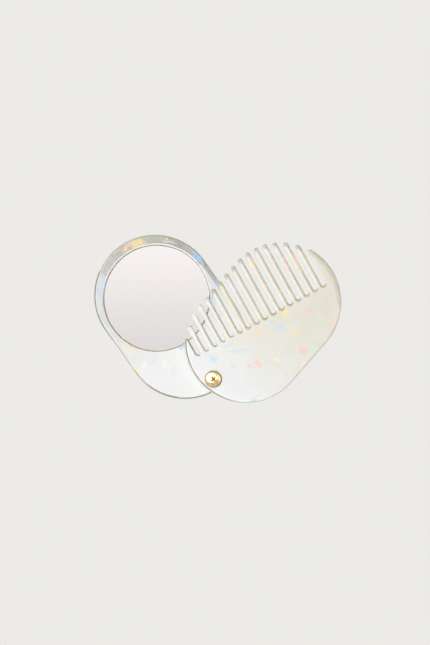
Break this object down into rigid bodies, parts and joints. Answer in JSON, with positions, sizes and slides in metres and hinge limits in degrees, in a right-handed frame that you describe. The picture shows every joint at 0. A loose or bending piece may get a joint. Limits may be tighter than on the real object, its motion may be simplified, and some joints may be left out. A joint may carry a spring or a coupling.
{
  "type": "folding comb with mirror",
  "caption": "Folding pocket comb with a round mirror: an oval toothed plate turns on a binding screw over an oval plate that holds the glass.",
  "frame": {"origin": "centre of the mirror plate's flat back face", "axes": "+Z out of the mirror's face, +Y along the mirror plate and away from the pivot, +X across it to the side on which the comb lies open"},
  "size_m": [0.1051, 0.1008, 0.0086],
  "materials": {
    "mirror_plate_acetate": "polished pearl acetate",
    "mirror_glass": "polished",
    "mirror_silvering": "silvered",
    "mirror_adhesive": "foam",
    "comb_plate_acetate": "polished pearl acetate",
    "washer_nylon": "smooth",
    "screw_gilt": "polished gilt",
    "post_gilt": "polished gilt"
  },
  "bodies": {
    "mirror": {"mirror_plate": "mirror_plate_acetate", "mirror_glass": "mirror_glass", "mirror_silvering": "mirror_silvering", "mirror_adhesive": "mirror_adhesive", "spacer_washer": "washer_nylon", "pivot_screw": "screw_gilt", "pivot_post": "post_gilt"},
    "comb": {"comb_plate": "comb_plate_acetate"}
  },
  "joints": [
    {"name": "comb_swing", "type": "hinge", "parent": "mirror", "child": "comb", "pos_m": [0, -0.036, 0.0059], "axis": [0, 0, 1], "continuous": true}
  ]
}
